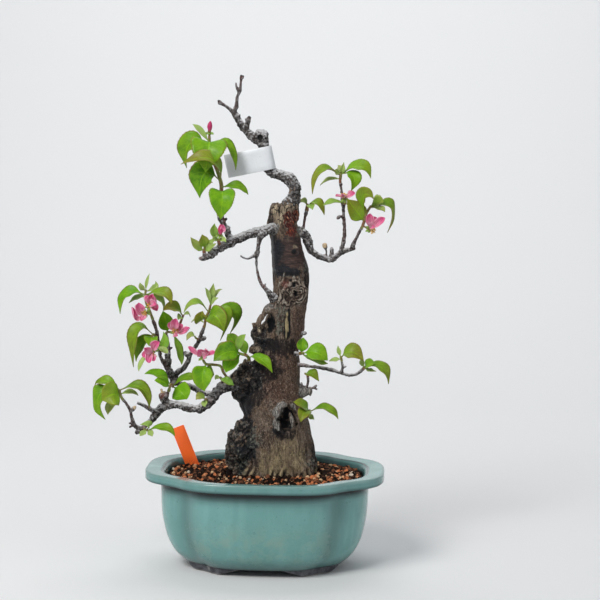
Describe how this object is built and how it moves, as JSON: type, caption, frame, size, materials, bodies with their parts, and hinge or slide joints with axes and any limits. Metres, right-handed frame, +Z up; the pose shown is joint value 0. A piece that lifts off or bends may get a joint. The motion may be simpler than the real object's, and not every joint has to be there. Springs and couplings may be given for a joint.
{
  "type": "chinese quince bonsai",
  "caption": "Old chopped quince trunk with burls and a hollow, thin branches with young leaves and pink blossoms, in a glazed four-lobed pot with feet.",
  "frame": {"origin": "centre of the whole object's footprint, on the surface that the pot's feet stand on", "axes": "+Z up, -Y the front of the tree as it is shown, +X to the viewer's right"},
  "size_m": [0.3108, 0.186, 0.5126],
  "materials": {
    "glaze": "teal-green glaze, glossy, with bare grey-brown clay on the feet",
    "drain_mesh": "matte",
    "soil": "loose reddish-brown and black granules",
    "bark": "grey-brown flaking bark with paler healed wood",
    "leaf": "fresh yellow-green leaf with a slight sheen",
    "petal": "soft pink petal, deeper on the buds",
    "tag": "white strip with a slight sheen",
    "stake": "matte orange"
  },
  "bodies": {
    "root": {"pot": "glaze", "drain_mesh_left": "drain_mesh", "drain_mesh_right": "drain_mesh", "soil": "soil", "tree_wood": "bark", "spray_crown_left": "leaf", "spray_left_tip": "leaf", "spray_left_fork": "leaf", "spray_right_top": "leaf", "spray_right_mid": "leaf", "spray_right_inner": "leaf", "spray_right_outer": "leaf", "spray_trunk_right": "leaf", "spray_low_right_mid": "leaf", "spray_low_right_tip": "leaf", "spray_stub_right": "leaf", "spray_base_right": "leaf", "spray_burl_shoot": "leaf", "spray_flower_centre": "leaf", "spray_burl_base": "leaf", "spray_left_top": "leaf", "spray_left_mid": "leaf", "spray_far_left_top": "leaf", "spray_left_inner": "leaf", "spray_far_left_low": "leaf", "spray_limb_top": "leaf", "spray_limb_mid": "leaf", "spray_limb_base": "leaf", "spray_far_left_end": "leaf", "spray_limb_low": "leaf", "bud_crown_left": "petal", "bud_left_fork": "petal", "bloom_right_mid": "petal", "bloom_right_outer": "petal", "bloom_far_left_upper": "petal", "bloom_far_left_lower": "petal", "bloom_left_inner": "petal", "bloom_far_left_low": "petal", "bloom_flower_centre": "petal", "tag_band": "tag", "stake_label": "stake"}
  },
  "joints": []
}
